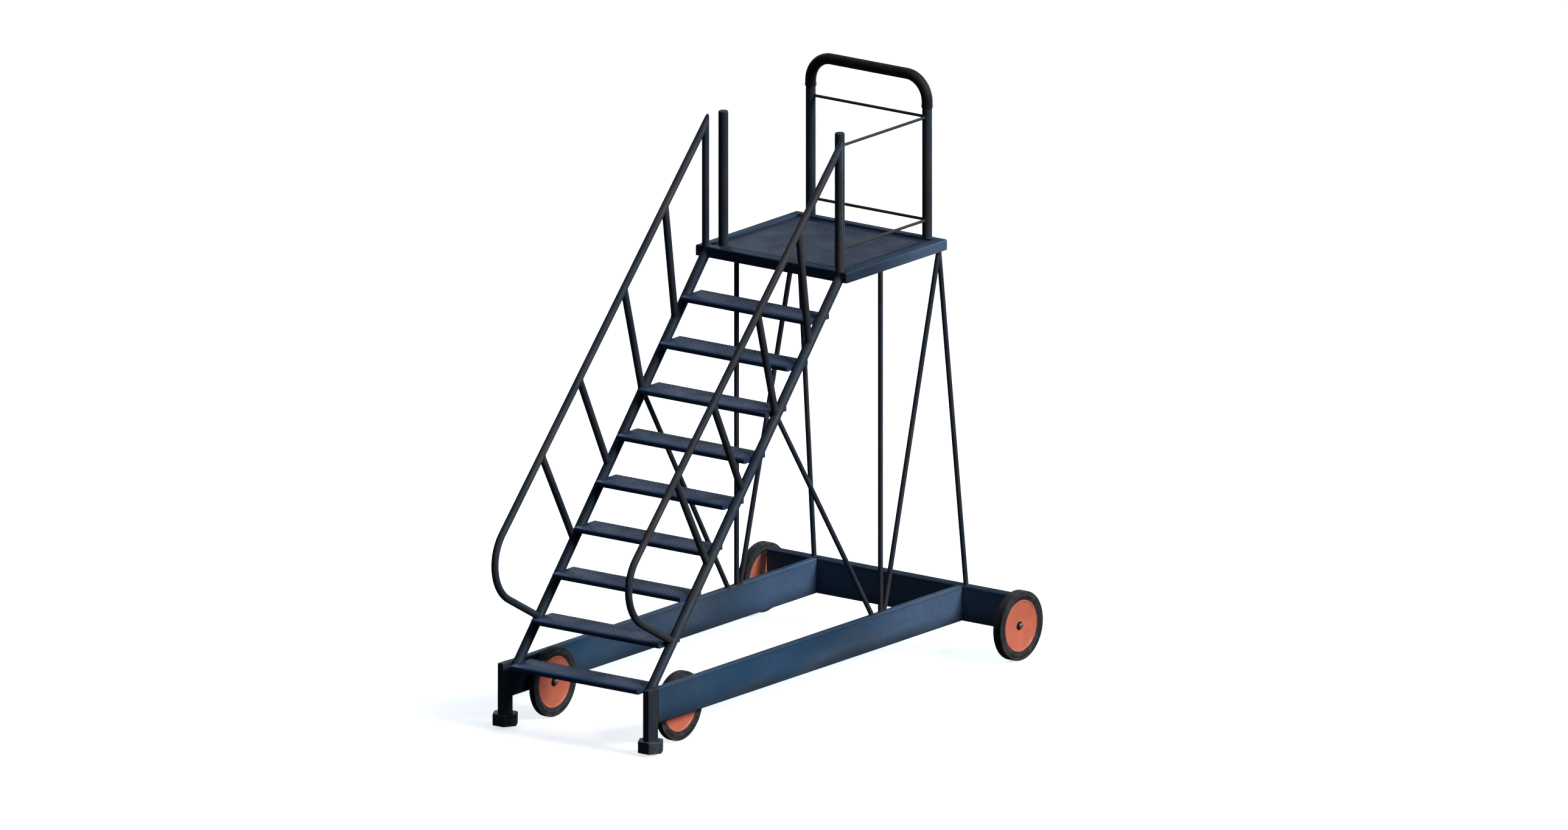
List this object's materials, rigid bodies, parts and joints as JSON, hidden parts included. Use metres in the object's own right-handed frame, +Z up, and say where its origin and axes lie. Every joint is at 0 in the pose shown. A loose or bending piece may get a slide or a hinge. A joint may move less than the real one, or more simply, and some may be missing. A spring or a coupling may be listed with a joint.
{
  "type": "mobile platform steps",
  "caption": "Mobile access steps: a treaded stair with sloping handrails climbs to a guarded platform on a braced steel base with fixed rear wheels and sprung front wheels.",
  "frame": {"origin": "on the floor, under the middle of the whole object's bounding box", "axes": "+X runs up the stair towards the rear, +Y to the climber's left, +Z up"},
  "size_m": [3.4944, 1.968, 3.5857],
  "materials": {
    "base_paint": "satin blue-grey enamel",
    "leg_paint": "satin dark slate enamel",
    "stair_paint": "satin charcoal enamel",
    "tread_paint": "satin navy enamel over an embossed anti-slip pattern",
    "platform_paint": "satin navy enamel",
    "deck_paint": "satin charcoal enamel over an embossed anti-slip pattern",
    "rail_paint": "satin charcoal enamel",
    "rod_paint": "satin black enamel",
    "brace_paint": "satin charcoal enamel",
    "grip_rubber": "matt moulded rubber",
    "foot_rubber": "smooth moulded rubber",
    "axle_steel": "turned steel",
    "guide_paint": "satin charcoal enamel",
    "spring_steel": "oiled spring steel",
    "clip_steel": "blackened steel",
    "tyre_rubber": "matt solid rubber",
    "wheel_nylon": "moulded salmon nylon",
    "bush_nylon": "self-lubricating nylon"
  },
  "bodies": {
    "frame": {"axle_guide_left": "guide_paint", "axle_guide_right": "guide_paint", "front_leg_left": "leg_paint", "front_leg_right": "leg_paint", "front_post_left": "rail_paint", "front_post_right": "rail_paint", "guard_rods": "rod_paint", "handrail_left": "rail_paint", "handrail_right": "rail_paint", "handrail_uprights_left": "rail_paint", "handrail_uprights_right": "rail_paint", "hoop_grip": "grip_rubber", "platform_brace_left": "brace_paint", "platform_brace_right": "brace_paint", "platform_deck": "deck_paint", "platform_frame": "platform_paint", "rear_axle_clips": "clip_steel", "rear_axle_left": "axle_steel", "rear_axle_right": "axle_steel", "rear_cross_beam": "base_paint", "rear_hoop": "rail_paint", "rear_prop_left": "brace_paint", "rear_prop_right": "brace_paint", "rubber_foot_left": "foot_rubber", "rubber_foot_right": "foot_rubber", "side_beam_left": "base_paint", "side_beam_right": "base_paint", "stringer_brace_left": "brace_paint", "stringer_brace_right": "brace_paint", "stringer_left": "stair_paint", "stringer_right": "stair_paint", "suspension_springs_left": "spring_steel", "suspension_springs_right": "spring_steel", "tread_1": "tread_paint", "tread_2": "tread_paint", "tread_3": "tread_paint", "tread_4": "tread_paint", "tread_5": "tread_paint", "tread_6": "tread_paint", "tread_7": "tread_paint", "tread_8": "tread_paint", "tread_9": "tread_paint", "upright_brace_left": "brace_paint", "upright_brace_right": "brace_paint"},
    "front_axle_right": {"front_axle_carrier_right": "axle_steel", "front_axle_clips_right": "clip_steel"},
    "rear_wheel_right": {"rear_tyre_right": "tyre_rubber", "rear_wheel_disc_right": "wheel_nylon", "rear_hub_bush_right": "bush_nylon"},
    "front_wheel_right": {"front_tyre_right": "tyre_rubber", "front_wheel_disc_right": "wheel_nylon", "front_hub_bush_right": "bush_nylon"},
    "front_axle_left": {"front_axle_carrier_left": "axle_steel", "front_axle_clips_left": "clip_steel"},
    "rear_wheel_left": {"rear_tyre_left": "tyre_rubber", "rear_wheel_disc_left": "wheel_nylon", "rear_hub_bush_left": "bush_nylon"},
    "front_wheel_left": {"front_tyre_left": "tyre_rubber", "front_wheel_disc_left": "wheel_nylon", "front_hub_bush_left": "bush_nylon"}
  },
  "joints": [
    {"name": "rear_wheel_right_spin", "type": "hinge", "parent": "frame", "child": "rear_wheel_right", "pos_m": [1.53475, -0.953, 0.2125], "axis": [0, 1, 0], "continuous": true},
    {"name": "front_axle_right_rise", "type": "slide", "parent": "frame", "child": "front_axle_right", "axis": [0, 0, 1], "range_m": [0, 0.018], "stiffness_N_per_m": 12000, "springref_m": -0.083, "deforming": ["suspension_springs_right"]},
    {"name": "front_wheel_right_spin", "type": "hinge", "parent": "front_axle_right", "child": "front_wheel_right", "pos_m": [-1.18775, -0.469, 0.2125], "axis": [0, 1, 0], "continuous": true},
    {"name": "rear_wheel_left_spin", "type": "hinge", "parent": "frame", "child": "rear_wheel_left", "pos_m": [1.53475, 0.953, 0.2125], "axis": [0, 1, 0], "continuous": true},
    {"name": "front_axle_left_rise", "type": "slide", "parent": "frame", "child": "front_axle_left", "axis": [0, 0, 1], "range_m": [0, 0.018], "stiffness_N_per_m": 12000, "springref_m": -0.083, "deforming": ["suspension_springs_left"]},
    {"name": "front_wheel_left_spin", "type": "hinge", "parent": "front_axle_left", "child": "front_wheel_left", "pos_m": [-1.18775, 0.469, 0.2125], "axis": [0, 1, 0], "continuous": true}
  ]
}
